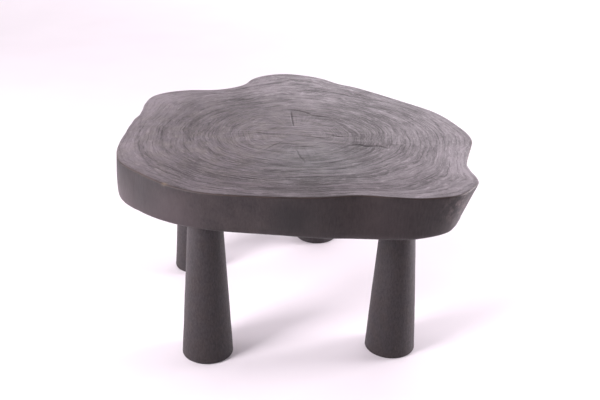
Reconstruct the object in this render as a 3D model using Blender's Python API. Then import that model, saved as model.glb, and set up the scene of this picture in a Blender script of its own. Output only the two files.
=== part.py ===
"""Live edge coffee table: a thick slab cut across a tree trunk, standing on four turned conical legs.

Metres, +Z up. The origin is on the floor under the middle of the slab, +X is the table's right side
and +Y its back. Each leg is bored from above for a hanger bolt. The bolt's upper end screws into a
threaded insert in the slab's underside, so the legs unscrew and the table packs flat.
"""

import math

import bmesh
import bpy
import numpy
from mathutils import Vector

# Overall sizes
TABLE_HEIGHT = 0.420
SLAB_WIDTH = 0.770
SLAB_DEPTH = 0.826
SLAB_THICKNESS = 0.089

# Edges of the slab
TOP_ARRIS = 0.003
BOTTOM_ROUND = 0.010
DEEPEST_UNDERCUT = 0.030

# Turned legs
LEG_FOOT_DIAMETER = 0.110
LEG_TOP_DIAMETER = 0.070
FOOT_ROUND = 0.005
LEG_TOP_CHAMFER = 0.0015

# From the live edge in to each leg's axis
FRONT_LEFT_INSET = 0.095
FRONT_RIGHT_INSET = 0.158
BACK_LEFT_INSET = 0.137
BACK_RIGHT_INSET = 0.085

# Hanger bolts: a wood screw thread in the leg, a machine thread in the insert
BOLT_DIAMETER = 0.010
BOLT_IN_LEG = 0.055
BOLT_IN_SLAB = 0.032
BOLT_POINT = 0.010
BOLT_CHAMFER = 0.001

# Threaded inserts, flush with the slab's underside
INSERT_DIAMETER = 0.016
INSERT_LENGTH = 0.025
INSERT_FLANGE_DIAMETER = 0.022
INSERT_FLANGE = 0.002

# Clearances
SEAT_GAP = 0.0003        # between any two pieces that touch
HOLE_END_ROOM = 0.004    # left empty past the end of a bolt

# The heart of the tree, where its growth rings start, on the scale of the live edge below
HEART = (0.00, -0.16)

# The live edge, anticlockwise from the right, at the slab's widest level. Each point is a share of
# half the width, a share of half the depth, and how far the underside lies inside the top there, as
# a share of the deepest undercut. Below zero the top lies inside the underside.
LIVE_EDGE = [
    # Right bulge and the long back right side
    (1.00, -0.16, 0.60),
    (0.965, 0.02, 0.55),
    (0.855, 0.27, 0.45),
    (0.65, 0.485, 0.45),
    (0.395, 0.72, 0.40),
    (0.265, 0.80, 0.35),
    (0.145, 0.915, 0.45),
    # Back lobe, and the fold beside it
    (0.01, 0.98, 0.60),
    (-0.12, 1.00, 0.60),
    (-0.25, 0.95, 0.45),
    (-0.33, 0.86, 0.35),
    (-0.38, 0.735, 0.20),
    (-0.47, 0.655, 0.15),
    (-0.58, 0.61, 0.20),
    # Back left corner and the left side
    (-0.745, 0.59, 0.40),
    (-0.89, 0.52, 0.40),
    (-0.96, 0.405, 0.20),
    (-0.965, 0.195, 0.00),
    (-0.985, 0.04, -0.03),
    (-0.99, -0.12, -0.06),
    (-1.00, -0.39, -0.10),
    # Front left shoulder and the front
    (-0.945, -0.62, -0.12),
    (-0.775, -0.785, 0.00),
    (-0.61, -0.91, 0.40),
    (-0.41, -0.98, 0.62),
    (-0.08, -1.00, 0.42),
    (0.16, -0.99, -0.06),
    (0.33, -0.985, -0.42),
    (0.505, -0.985, -0.22),
    (0.68, -0.965, 0.20),
    # Front right tip, the notch behind it, and back to the bulge
    (0.815, -0.92, 0.60),
    (0.90, -0.82, 0.90),
    (0.935, -0.735, 1.00),
    (0.91, -0.59, 0.55),
    (0.91, -0.495, 0.25),
    (0.965, -0.315, 0.40),
]

# Where the legs stand: the bearing from the heart, in degrees anticlockwise from +X, and how far in
# from the live edge on that bearing.
LEG_PLACES = {
    "front_left": (-128.7, FRONT_LEFT_INSET),
    "front_right": (-41.9, FRONT_RIGHT_INSET),
    "back_left": (146.6, BACK_LEFT_INSET),
    "back_right": (81.3, BACK_RIGHT_INSET),
}

# Facets
EDGE_STEPS = 5           # stations between two points of the live edge
ROUND_STEPS = 4          # facets across a rounding
WALL_STEPS = 4           # levels up the bark face
LEG_SEGMENTS = 48
HARDWARE_SEGMENTS = 24
SHARP_ANGLE = math.radians(35.0)
MERGE_DISTANCE = 1e-5    # closes the seam and the poles of a turned piece

# Worked out from the sizes above
SLAB_UNDERSIDE = TABLE_HEIGHT - SLAB_THICKNESS
LEG_LENGTH = SLAB_UNDERSIDE - SEAT_GAP


def clear_scene():
    for item in list(bpy.data.objects):
        bpy.data.objects.remove(item, do_unlink=True)


def finish(name, color, roughness, metallic):
    """A material with one finish all over."""
    material = bpy.data.materials.new(name)
    material.use_nodes = True
    shader = material.node_tree.nodes["Principled BSDF"]
    shader.inputs["Base Color"].default_value = (*color, 1.0)
    shader.inputs["Roughness"].default_value = roughness
    shader.inputs["Metallic"].default_value = metallic
    return material


def add_object(name, shape, material, parent):
    """Turns a bmesh into a named, smooth-shaded object with crisp edges kept crisp."""
    mesh = bpy.data.meshes.new(name)
    shape.to_mesh(mesh)
    shape.free()
    mesh.shade_smooth()
    mesh.set_sharp_from_angle(angle=SHARP_ANGLE)
    if material:
        mesh.materials.append(material)
    item = bpy.data.objects.new(name, mesh)
    item.parent = parent
    bpy.context.collection.objects.link(item)
    return item


def turned(profile, segments, ring=False):
    """A bmesh turned about Z from a profile of (radius, height) points; a ring's profile is closed."""
    shape = bmesh.new()
    points = [shape.verts.new((radius, 0.0, height)) for radius, height in profile]
    edges = [shape.edges.new(pair) for pair in zip(points, points[1:])]
    if ring:
        edges.append(shape.edges.new((points[-1], points[0])))
    bmesh.ops.spin(shape, geom=points + edges, cent=(0, 0, 0), axis=(0, 0, 1),
                   angle=math.tau, steps=segments)
    bmesh.ops.remove_doubles(shape, verts=shape.verts, dist=MERGE_DISTANCE)
    bmesh.ops.recalc_face_normals(shape, faces=shape.faces)
    return shape


def live_edge():
    """Stations round the slab's widest level as (x, y, undercut share), on a closed spline through LIVE_EDGE.

    The stations are stretched to the slab's width and depth, and the heart with them.
    """
    points = [Vector(point) for point in LIVE_EDGE]
    stations = []
    for index in range(len(points)):
        before, start, end, after = (points[(index + k) % len(points)] for k in (-1, 0, 1, 2))
        for step in range(EDGE_STEPS):
            t = step / EDGE_STEPS
            straight = 2 * start + (end - before) * t
            square = (2 * before - 5 * start + 4 * end - after) * t ** 2
            cubic = (3 * start - before - 3 * end + after) * t ** 3
            stations.append((straight + square + cubic) / 2)
    low = Vector([min(station[axis] for station in stations) for axis in (0, 1)])
    high = Vector([max(station[axis] for station in stations) for axis in (0, 1)])
    middle = (low + high) / 2
    stretch = Vector((SLAB_WIDTH / (high.x - low.x), SLAB_DEPTH / (high.y - low.y)))
    for station in stations:
        station.xy = (station.xy - middle) * stretch
    return stations, (Vector(HEART) - middle) * stretch


def edge_distance(stations, heart, bearing):
    """How far the live edge is from the heart on a bearing in degrees."""
    rays = [station.xy - heart for station in stations]
    bearings = [math.degrees(math.atan2(ray.y, ray.x)) for ray in rays]
    return float(numpy.interp(bearing, bearings, [ray.length for ray in rays], period=360.0))


def wall_section(undercut):
    """The slab's edge in section, underside to top: (how far in from the widest level, height)."""
    low_inset = max(undercut, 0.0)
    high_inset = max(-undercut, 0.0)
    section = []
    for step in range(ROUND_STEPS + 1):
        turn = math.radians(90.0) * step / ROUND_STEPS
        section.append((low_inset + BOTTOM_ROUND * (1 - math.sin(turn)), BOTTOM_ROUND * (1 - math.cos(turn))))
    wall_top = SLAB_THICKNESS - TOP_ARRIS
    for step in range(1, WALL_STEPS + 1):
        share = step / WALL_STEPS
        inset = low_inset + (high_inset - low_inset) * share
        section.append((inset, BOTTOM_ROUND + (wall_top - BOTTOM_ROUND) * share))
    for step in range(1, ROUND_STEPS + 1):
        turn = math.radians(90.0) * step / ROUND_STEPS
        section.append((high_inset + TOP_ARRIS * (1 - math.cos(turn)), wall_top + TOP_ARRIS * math.sin(turn)))
    return section


def slab_shape(stations, heart):
    """Lofts the slab through its levels, each one the live edge drawn in towards the heart."""
    shape = bmesh.new()
    columns = []
    for station in stations:
        ray = station.xy - heart
        column = []
        for inset, height in wall_section(station.z * DEEPEST_UNDERCUT):
            plan = heart + ray * (1 - inset / ray.length)
            column.append(shape.verts.new((plan.x, plan.y, height)))
        columns.append(column)
    for column, following in zip(columns, columns[1:] + columns[:1]):
        for level in range(len(column) - 1):
            shape.faces.new((column[level], following[level], following[level + 1], column[level + 1]))
    shape.faces.new([column[0] for column in reversed(columns)])
    shape.faces.new([column[-1] for column in columns])
    return shape


def leg_shape():
    """A cone with an eased foot, bored from its top for the hanger bolt."""
    bore = BOLT_DIAMETER / 2 + SEAT_GAP
    bore_floor = LEG_LENGTH - BOLT_IN_LEG - HOLE_END_ROOM
    top = LEG_TOP_DIAMETER / 2
    foot = LEG_FOOT_DIAMETER / 2
    profile = [(0, bore_floor), (bore, bore_floor), (bore, LEG_LENGTH)]
    profile += [(top - LEG_TOP_CHAMFER, LEG_LENGTH), (top, LEG_LENGTH - LEG_TOP_CHAMFER)]
    for step in range(ROUND_STEPS + 1):
        turn = math.radians(90.0) * step / ROUND_STEPS
        profile.append((foot - FOOT_ROUND * (1 - math.cos(turn)), FOOT_ROUND * (1 - math.sin(turn))))
    profile.append((0, 0))
    return turned(profile, LEG_SEGMENTS)


def bolt_shape():
    """A hanger bolt, with height zero where the leg meets the slab."""
    radius = BOLT_DIAMETER / 2
    profile = [
        (0, BOLT_IN_SLAB),
        (radius - BOLT_CHAMFER, BOLT_IN_SLAB),
        (radius, BOLT_IN_SLAB - BOLT_CHAMFER),
        (radius, BOLT_POINT - BOLT_IN_LEG),
        (0, -BOLT_IN_LEG),
    ]
    return turned(profile, HARDWARE_SEGMENTS)


def insert_shape():
    """A flanged insert, with height zero at its flange's outer face."""
    bore = BOLT_DIAMETER / 2 + SEAT_GAP
    body = INSERT_DIAMETER / 2
    flange = INSERT_FLANGE_DIAMETER / 2
    profile = [
        (bore, INSERT_LENGTH),
        (body, INSERT_LENGTH),
        (body, INSERT_FLANGE),
        (flange, INSERT_FLANGE),
        (flange, 0),
        (bore, 0),
    ]
    return turned(profile, HARDWARE_SEGMENTS, ring=True)


def insert_seat_shape():
    """The stepped blind hole for an insert and its bolt, drawn as the solid that it takes away."""
    body = INSERT_DIAMETER / 2 + SEAT_GAP
    flange = INSERT_FLANGE_DIAMETER / 2 + SEAT_GAP
    flange_floor = INSERT_FLANGE + SEAT_GAP
    hole_floor = max(INSERT_LENGTH, BOLT_IN_SLAB) + HOLE_END_ROOM
    profile = [
        (0, hole_floor),
        (body, hole_floor),
        (body, flange_floor),
        (flange, flange_floor),
        (flange, -INSERT_FLANGE),
        (0, -INSERT_FLANGE),
    ]
    return turned(profile, HARDWARE_SEGMENTS)


def bore_for_insert(slab, name, place):
    """Cuts one insert's seat in the slab's underside."""
    seat = add_object("insert_seat_" + name, insert_seat_shape(), None, slab)
    seat.location = (place.x, place.y, 0)
    seat.hide_render = True
    seat.display_type = "WIRE"
    cut = slab.modifiers.new("insert_seat_" + name, "BOOLEAN")
    cut.operation = "DIFFERENCE"
    cut.solver = "EXACT"
    cut.object = seat


def build():
    clear_scene()
    stained_slab = finish("black_stained_end_grain", (0.045, 0.040, 0.042), 0.50, 0.0)
    stained_leg = finish("black_stained_turned_wood", (0.034, 0.031, 0.032), 0.55, 0.0)
    zinc = finish("zinc_plated_steel", (0.56, 0.57, 0.58), 0.35, 1.0)
    brass = finish("turned_brass", (0.78, 0.57, 0.26), 0.32, 1.0)

    table = bpy.data.objects.new("coffee_table", None)
    bpy.context.collection.objects.link(table)
    stations, heart = live_edge()
    slab = add_object("slab_top", slab_shape(stations, heart), stained_slab, table)
    slab.location.z = SLAB_UNDERSIDE

    for name, (bearing, inset) in LEG_PLACES.items():
        reach = edge_distance(stations, heart, bearing) - inset
        turn = math.radians(bearing)
        place = heart + reach * Vector((math.cos(turn), math.sin(turn)))
        leg = add_object("leg_" + name, leg_shape(), stained_leg, table)
        leg.location = (place.x, place.y, 0)
        bolt = add_object("hanger_bolt_" + name, bolt_shape(), zinc, leg)
        bolt.location.z = SLAB_UNDERSIDE
        insert = add_object("threaded_insert_" + name, insert_shape(), brass, leg)
        insert.location.z = SLAB_UNDERSIDE
        bore_for_insert(slab, name, place)


build()
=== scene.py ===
"""Looks of a live edge coffee table: a black-stained tree section on four turned legs, in a white studio."""

import math
import random

import bpy
import numpy as np
from mathutils import Matrix, Vector, noise


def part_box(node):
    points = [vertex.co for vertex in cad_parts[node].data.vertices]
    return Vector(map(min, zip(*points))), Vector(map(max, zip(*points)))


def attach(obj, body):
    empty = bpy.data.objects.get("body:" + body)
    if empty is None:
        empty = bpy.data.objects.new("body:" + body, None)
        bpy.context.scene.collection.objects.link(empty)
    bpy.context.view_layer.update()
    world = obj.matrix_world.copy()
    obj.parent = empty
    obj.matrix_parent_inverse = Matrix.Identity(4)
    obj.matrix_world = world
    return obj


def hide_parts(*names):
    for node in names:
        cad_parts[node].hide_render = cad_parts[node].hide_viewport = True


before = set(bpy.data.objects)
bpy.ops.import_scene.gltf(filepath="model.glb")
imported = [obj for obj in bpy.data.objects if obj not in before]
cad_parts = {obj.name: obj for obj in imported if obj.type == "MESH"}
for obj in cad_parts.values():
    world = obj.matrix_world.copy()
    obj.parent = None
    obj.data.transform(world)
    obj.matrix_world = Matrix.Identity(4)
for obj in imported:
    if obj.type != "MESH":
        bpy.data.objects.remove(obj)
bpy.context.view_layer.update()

# A millimetre in metres, the file for the sizes, the legs' corners, the gap that seams are merged across,
# and the angle up to which an edge is shaded soft
MM = 0.001
CORNERS = ("front_left", "front_right", "back_left", "back_right")
SEAM_MERGE = 0.001 * MM
SOFT_EDGE = math.radians(50)

# Camera, as found from the photograph's frame of 600 by 400 pixels
SENSOR_WIDTH = 36.0
LENS = 53.85
CAMERA_PLACE = (0.0078, -1.9424, 1.0980)
CAMERA_DOWN = math.radians(24.04)
CAMERA_ROLL = math.radians(1.44)

# Slab: the solid's own top and underside, its two rounded edges, the slack in finding the solid's corners
# at a height, and the heart of the tree
SLAB_LOW, SLAB_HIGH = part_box("slab_top")
SLAB_TOP = SLAB_HIGH.z
SLAB_UNDERSIDE = SLAB_LOW.z
TOP_ARRIS = 3 * MM
BOTTOM_ROUND = 10 * MM
LEVEL_SLACK = 0.2 * MM
HEART = np.array((0.0, -66 * MM))

# Small swells and hollows of the live edge, and the left end's wall, drawn in towards its lower edge:
# bearing from the heart in degrees, height in millimetres and reach in degrees; the power says how late
# the wall draws in
EDGE_SWELLS = ((154.5, 2.0, 3.0), (163.8, -3.2, 3.0), (177.0, 2.3, 4.0), (338.0, 2.2, 5.0))
DRAWN_IN = (204.0, 2.4, 11.0)
DRAWN_POWER = 4

# Growth rings of the tree section: nearly round at the heart, the trunk's own outline at the rim. Each ring
# has rows at some shares of its year, worn down by some shares of its relief
COLUMNS = 480
RINGS = 50
RING_ROWS = (0.12, 0.55, 0.93)
ROW_DROPS = (1.0, 0.5, 0.0)
RING_WIDTHS = (0.55, 1.5)
RING_SEED = 11
CORE_RADIUS = 360 * MM
CORE_OVAL = 0.03
OUTLINE_CALM = 24.0
OUTLINE_TAKEN = (0.30, 0.95)
RIM_POWER = 7

# Wanders of the rings: height, pace of the noise round the heart and outwards, and its start; and the shares
# of the way, from the heart and from the rim, on which they grow
RING_WANDERS = ((5 * MM, 2.6, 4.0, 0.0), (1.6 * MM, 11.0, 14.0, 7.0))
WANDERS_FROM_HEART = (0.02, 0.25)
WANDERS_FROM_RIM = (0.0, 0.12)

# Relief of the rings: mean, swing and least height, pace of the swing round the heart and from ring to ring,
# share left at the heart, and the shares of the way on which it grows from the heart and from the rim
RELIEF_MEAN = 0.2625 * MM
RELIEF_SWING = 0.315 * MM
RELIEF_LEAST = 0.05 * MM
RELIEF_PACE = (3.0, 1.7)
HEART_RELIEF = 0.3
RELIEF_FROM_HEART = (0.1, 0.4)
RELIEF_FROM_RIM = (0.0, 0.02)

# Waves left by the plane: height, length, and the share of the way on which they grow from the rim
PLANED_HEIGHT = 0.5 * MM
PLANED_LENGTH = 90 * MM
PLANED_FROM_RIM = (0.0, 0.1)

# Rows of the slab's mesh outside its rings
ARRIS_ROWS = 5
WALL_ROWS = 16
ROUND_ROWS = 4
UNDERSIDE_ROWS = 12

# Flutes of the side: height, pace round the heart and upright length
FLUTES = ((0.6 * MM, 16.0, 160 * MM), (0.3 * MM, 46.0, 50 * MM))

# The rubbed upper edge: mean share, swing and pace round the heart, and how much it shows on end grain and
# on the live edge
ARRIS_RUB = (0.55, 0.6, 9.0)
END_GRAIN_WEAR = 0.3
LIVE_EDGE_WEAR = 0.8

# Marks in the top, each a run of places in millimetres with its half width, depth and darkness:
# drying checks, dark rings, and last the groove where the sapwood starts
MARKS = (
    (((-19, 98), (-16, 50), (-12, -10)), 2.4, 1.6, 0.80),
    (((-22, 105), (6, 98), (28, 74)), 4.4, 1.2, 0.8),
    (((30, 67), (51, 62), (72, 57)), 4.4, 0.9, 0.6),
    (((-94, -62), (-55, -67), (-14, -66)), 4.4, 0.6, 0.6),
    (((4, -75), (36, -80), (62, -91)), 6.0, 0.4, 0.55),
    (((-28, -140), (0, -143), (32, -141)), 5.0, 0.5, 0.35),
    (((72, -66), (103, -77)), 4.0, 0.8, 0.6),
    (((107, -127), (132, -122), (148, -130), (174, -127), (195, -142)), 4.4, 1.0, 0.75),
    (((-3, -160), (5, -196), (17, -236)), 2.0, 0.9, 0.60),
    (((-71, -167), (-54, -139), (-34, -114)), 2.0, 0.8, 0.6),
    (((-23, -279), (88, -261), (152, -212)), 4.0, 0.5, 0.5),
    (((-91, -315), (8, -313), (87, -303)), 4.0, 0.5, 0.5),
    (((-150, 268), (-100, 306), (-47, 328)), 6.0, 0.4, 0.5),
    (((-30, 322), (2, 318), (36, 306)), 6.0, 0.4, 0.9),
    (((57, 266), (120, 232), (188, 194)), 6.0, 0.4, 0.7),
    (((-240, 226), (-192, 220), (-144, 236)), 6.0, 0.4, 0.4),
    (((-172, 170), (-140, 175), (-108, 178)), 6.0, 0.4, 0.7),
    (((-168, 128), (-138, 134), (-108, 136)), 5.0, 0.4, 0.6),
    (((196, 70), (212, 14), (216, -50), (206, -124)), 4.0, 0.4, 0.4),
    (((-308, 60), (-306, -30), (-290, -140), (-262, -220)), 4.0, 0.4, 0.4),
    (((-226, 60), (-246, -20), (-238, -118)), 5.0, 0.4, 0.4),
    (((311, 69), (325, -21), (323, -67)), 4.0, 0.5, 0.6),
    (((306, -81), (293, -144), (282, -203)), 4.0, 0.5, 0.5),
    (((-364, 31), (-353, -52), (-337, -163), (-304, -253), (-257, -335), (-229, -369)), 2.8, 0.7, 0.5),
)

# Steps of a run from place to place, a mark's wander and the length of that, and the share left at its ends
RUN_STEPS = 6
MARK_WANDER = 1.5 * MM
MARK_WANDER_LENGTH = 12 * MM
MARK_ENDS = 0.2

# A chip in the upper edge at the front left: its run in millimetres, half width, flat share of that, depth
# inwards and down, and the depths below the top between which it fades
CHIP_RUN = ((-257, -357), (-250, -363))
CHIP_HALF = 2.6 * MM
CHIP_FLAT = 0.2
CHIP_IN = 1.2 * MM
CHIP_DOWN = 0.96 * MM
CHIP_FADES = (3 * MM, 7 * MM)

# Where the stain took unevenly on the top: middle and reach in millimetres, and shift of the tone
SOAKED_PATCHES = (
    ((-136, 170), 60, -0.22),
    ((-150, 75), 110, -0.26),
    ((-264, 46), 95, -0.10),
    ((-210, -25), 110, -0.19),
    ((-345, 195), 140, 0.36),
    ((-362, 60), 120, 0.20),
    ((-368, -110), 110, 0.06),
    ((-372, -180), 150, 0.12),
    ((-85, 265), 80, 0.30),
    ((-180, 255), 70, 0.20),
    ((-121, 333), 70, 0.12),
    ((-295, 87), 70, 0.12),
    ((48, 278), 60, -0.14),
    ((130, 5), 110, -0.24),
    ((95, 85), 110, -0.22),
    ((25, 78), 60, -0.18),
    ((150, 160), 90, -0.24),
    ((135, -108), 110, -0.20),
    ((210, 50), 90, -0.16),
    ((330, -200), 120, 0.34),
    ((345, 30), 80, 0.20),
    ((152, -160), 75, -0.14),
    ((270, 159), 90, -0.14),
    ((-17, 105), 60, -0.12),
    ((346, -308), 90, 0.26),
    ((-240, 230), 90, 0.16),
    ((-180, -320), 170, -0.18),
    ((50, -425), 90, -0.32),
    ((280, -402), 70, 0.26),
    ((-16, -50), 150, -0.08),
    ((0, -66), 36, 0.14),
    ((10, -400), 220, -0.22),
    ((0, 290), 190, 0.12),
)

# Where the top is greyer, and where it may have a brown tinge: middle and reach in millimetres, and share
GREY_PATCH = ((40, -220), 190, 0.5)
BROWN_PATCH = ((-150, -100), 480, 1.0)
TINGE_LENGTH = 32

# Sideways swings of the stain's rings: length in millimetres, and years
RING_SWINGS = ((90, 2.2), (24, 0.6), (8, 0.2))

# Noise of the stain along the rings: length in millimetres, turns in a year, detail and weight on the tone
STAIN_STREAKS = (
    (170, 0.40, 1.0, 0.7),
    (64, 0.95, 2.0, 0.9),
    (30, 2.00, 2.0, 0.8),
    (12, 4.00, 2.0, 0.6),
)

# Pale flecks along the rings: length in millimetres, turns in a year, and weight on the tone
FLECKS = (20, 1.7, 0.40)

# Crossing fibres, drawn coarse enough to show, and cloudy patches: length in millimetres, weight on the tone
FIBRES = (3.2, 0.5)
CLOUDS = (48, 0.55)

# Late wood: the shares of a year where its dark line begins and is full, and its weight on the tone; the
# length in millimetres and turns in a year of the noise that makes it strong or faint, and the noise's range
LATE_WOOD = (0.68, 0.92, 0.50)
LATE_STRETCHES = (90, 0.93)
LATE_RANGE = (0.42, 0.68)

# Rays of the heart: their number in a turn, length in millimetres and weight on the tone, the years between
# which they begin, and those between which they end
RAYS = 150
RAY_LENGTH = 60
RAY_WEIGHT = 1.0
RAYS_BEGIN = (3.0, 11.0)
RAYS_END = (12.5, 25.0)

# Strokes of the brush across the heart, whose rings are too fine to lead the stain: length and width in
# millimetres and weight on the tone, the length and height of their waves, and the years between which they
# fade out
STROKES = (60, 8, 1.5)
STROKE_WAVES = (36, 22)
STROKES_END = (10.4, 26.0)

# How much the streaks stand out. In the heart: the years between which the rings' own tone comes up, and its
# share before that. At the left end and in the back lobe: the places in millimetres between which the share
# of contrast changes, and that share
HEART_CALM = (6.5, 26.0, 0.4)
LEFT_STREAKS = (-330, 60, 0.70)
BACK_STREAKS = (120, 300, 1.60)

# Tone of the whole top, weight of each year's own tone, and the sapwood: the years between which it begins
# and its lift of the tone
BASE_TONE = 0.45
YEAR_WEIGHT = 0.16
SAPWOOD = (46.5, 48.0, 0.12)

# The rim takes more stain at the front: the year where that begins, the places in millimetres between which
# it grows, and the shift of the tone
RIM_YEAR = 48.0
RIM_SOAK = (-250, -380, -0.26)

# Side of the slab: width and length of its upright grain, drawn coarse enough to show, and the length of its
# blotches and scrapes, in millimetres
EDGE_GRAIN = (3, 15)
EDGE_BLOTCHES = 60
EDGE_SCRAPES = 14

# Scuffs on the side at its right end, and painted light at its left end, darker above as painted shade and
# paler towards the lower edge as painted bounce light from the floor: middle and reach in millimetres, and
# share; the same patch is also duller above and glossier below
SCUFFS = ((316, -368, 395), 62, 1.0)
LEFT_END_PAINTED_LIGHT = ((-385, -215, 375), 280, 0.9)
LEFT_END_DULLNESS = (0.16, -0.1)

# Where the stain took unevenly on the side's front: middle and reach in millimetres, share and colour
SIDE_PATCHES = (
    ((-308, -325, 370), 55, 0.45, "#130e0f"),
    ((-246, -380, 342), 95, 0.60, "#443b3d"),
    ((-6, -418, 368), 68, 0.80, "#0f0b0c"),
    ((168, -413, 352), 115, 0.45, "#3b3233"),
)

# Turned legs
LEG_SEGMENTS = 144
LEG_CUTS = 59
FOOT_RADIUS = 55 * MM
FOOT_ROUND = 5 * MM
FOOT_ROUND_STEPS = 6
LEG_TOP_RADIUS = 35 * MM
LEG_TOP_CHAMFER = 1.5 * MM
LEG_TOP_STEPS = 2
LEG_BORE_RADIUS = 5.3 * MM
LEG_BORE_DEPTH = 59 * MM
LEG_SOFT_EDGE = math.radians(35)

# A leg's raised grain, coarse and fine, and the turner's unevenness: height, pace round the leg, upright
# length, and the noise's start as a multiple of the leg's place; and the wood that they take off on average
LEG_WAVES = ((0.16 * MM, 9, 45 * MM, 40), (0.096 * MM, 21, 30 * MM, -60), (0.35 * MM, 0, 35 * MM, 30))
LEG_LOSS = 0.338 * MM

# Pores of a leg, drawn coarse enough to show: width and length in millimetres; and its brown tinge's length
LEG_PORES = (3, 8)
LEG_TINGE = 24

# Hanger bolts
HARDWARE_COLUMNS = 40
THREAD_STEP = 0.3 * MM
BOLT_CREST = 5.0 * MM
BOLT_ROOT = 4.1 * MM
BOLT_PITCH = 1.5 * MM
BOLT_SHARPNESS = 1.0
BOLT_END_RADIUS = 3.8 * MM
BOLT_SHANK = 4.5 * MM
BOLT_SHANK_LENGTH = 8 * MM
BOLT_POINT = 9 * MM
BOLT_TIP_SHARE = 0.06
SCREW_ROOT = 3.5 * MM
SCREW_PITCH = 4 * MM
SCREW_SHARPNESS = 2.4
PLATING_BLOOM = 4

# Threaded inserts and their seats; the tool marks' length and width are in millimetres
INSERT_CREST = 8.0 * MM
INSERT_ROOT = 7.0 * MM
INSERT_PITCH = 3.5 * MM
INSERT_SHARPNESS = 2.0
INSERT_BORE = 5.15 * MM
INSERT_BORE_ROOT = 5.7 * MM
FLANGE_RADIUS = 11 * MM
FLANGE_THICKNESS = 2 * MM
SEAT_GAP = 0.3 * MM
SEAT_DEPTH = 36 * MM
SEAT_OVERLAP = 1 * MM
TOOL_MARKS = (9, 0.4)

# Studio: the floor, how bright the room, its back wall and the backdrop are, and the lamps with their
# places, widths, depths and power
LIGHT_TINT = "#fff7fe"
FLOOR_SIZE = 16.0
FLOOR_MOTTLE = 300
ROOM_GLOW = 0.13
BACK_WALL_GLOW = 1.08
BACK_WALL_FULL = 0.8
BACKDROP_GLOW = 0.6
TABLE_MIDDLE = (0.0, 0.0, 0.3)
LAMPS = (
    ("left_softbox", (-1.95, -1.6, 1.3), 0.9, 0.9, 81.0),
    ("low_left_panel", (-2.8, 0.3, 0.5), 1.6, 0.8, 41.0),
    ("right_panel", (2.8, 0.5, 0.7), 1.4, 1.0, 127.0),
    ("back_right_panel", (2.0, 4.3, 1.5), 5.0, 1.7, 114.0),
    ("back_left_panel", (-2.7, 4.3, 1.7), 3.0, 1.6, 32.0),
)


def linear(colour):
    """Linear colour of an sRGB hex value."""
    shares = [int(colour[i:i + 2], 16) / 255 for i in (1, 3, 5)]
    return [s / 12.92 if s <= 0.04045 else ((s + 0.055) / 1.055) ** 2.4 for s in shares] + [1.0]


def add_node(tree, kind, output, feeds, **settings):
    """Adds one shader node, feeds its inputs with values or sockets, and returns one of its outputs."""
    made = tree.nodes.new("ShaderNode" + kind)
    for name, value in settings.items():
        setattr(made, name, value)
    for name, value in feeds.items():
        if isinstance(value, bpy.types.NodeSocket):
            tree.links.new(value, made.inputs[name])
        else:
            made.inputs[name].default_value = value
    return made.outputs[output] if output is not None else None


def new_material(name):
    """An empty node material and its tree."""
    material = bpy.data.materials.new(name)
    material.use_nodes = True
    material.node_tree.nodes.clear()
    return material, material.node_tree


def smooth(value, low, high):
    """Smooth step from 0 at low to 1 at high, on numbers or arrays."""
    share = np.clip((value - low) / (high - low), 0.0, 1.0)
    return share * share * (3 - 2 * share)


def plan_noise(flat, level):
    """Perlin noise, from -1 to 1, at places in the plane lifted to a level."""
    shape = np.broadcast_shapes(flat.shape[:-1], np.shape(level))
    points = np.empty(shape + (3,))
    points[..., :2] = flat
    points[..., 2] = level
    return np.array([noise.noise(point) for point in points.reshape(-1, 3).tolist()]).reshape(shape)


def middle_of(node):
    """Middle of a solid's box."""
    low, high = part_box(node)
    return (low + high) / 2


def select_alone(piece):
    """Selects one piece and nothing else, so that an operator reaches only that one."""
    bpy.ops.object.select_all(action="DESELECT")
    piece.select_set(True)
    bpy.context.view_layer.objects.active = piece


def wrap_sheet(name, centre, reach, height, marks, tube=False):
    """A sheet of rows and columns wrapped round an upright axis and closed at both ends, or end to end."""
    rows, columns = reach.shape
    lines = rows if tube else rows + 1
    bpy.ops.object.select_all(action="DESELECT")
    bpy.ops.mesh.primitive_grid_add(x_subdivisions=columns, y_subdivisions=lines, size=2.0)
    piece = bpy.context.object
    piece.name = name
    mesh = piece.data
    flat = np.empty(3 * len(mesh.vertices))
    mesh.vertices.foreach_get("co", flat)
    across, along, _ = flat.reshape(-1, 3).T
    column = np.rint((across + 1) / 2 * columns).astype(int) % columns
    line = np.rint((1 - along) / 2 * lines).astype(int)
    row = line % rows if tube else np.clip(line - 1, 0, rows - 1)
    at_end = (line % lines == 0) & (not tube)
    bearing = math.tau * column / columns
    far = np.where(at_end, 0.0, reach[row, column])
    level = np.where(at_end, height.mean(axis=1)[row], height[row, column])
    placed = np.stack((centre[0] + far * np.cos(bearing), centre[1] + far * np.sin(bearing), level), axis=-1)
    mesh.vertices.foreach_set("co", placed.ravel())
    for mark, values in marks.items():
        attribute = mesh.attributes.new(mark, "FLOAT", "POINT")
        attribute.data.foreach_set("value", values[row, column].astype(np.float32))
    bpy.ops.object.mode_set(mode="EDIT")
    bpy.ops.mesh.select_all(action="SELECT")
    bpy.ops.mesh.remove_doubles(threshold=SEAM_MERGE)
    bpy.ops.mesh.normals_make_consistent(inside=False)
    bpy.ops.object.mode_set(mode="OBJECT")
    return piece


def copy_to_corner(pattern, name, node, corner):
    """A copy, with its own mesh, of a piece that was modelled in the first corner, moved to another."""
    piece = pattern.copy()
    piece.data = pattern.data.copy()
    piece.name = f"{name}_{corner}"
    shift = middle_of(f"{node}_{corner}") - middle_of(f"{node}_{CORNERS[0]}")
    piece.data.transform(Matrix.Translation(shift))
    bpy.context.scene.collection.objects.link(piece)
    return piece


# The slab: one tree section, its top a relief of growth rings, its sides the trunk's own outline


def column_bearings():
    """Bearings of the mesh's columns, in degrees."""
    return np.arange(COLUMNS) * 360.0 / COLUMNS


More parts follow.
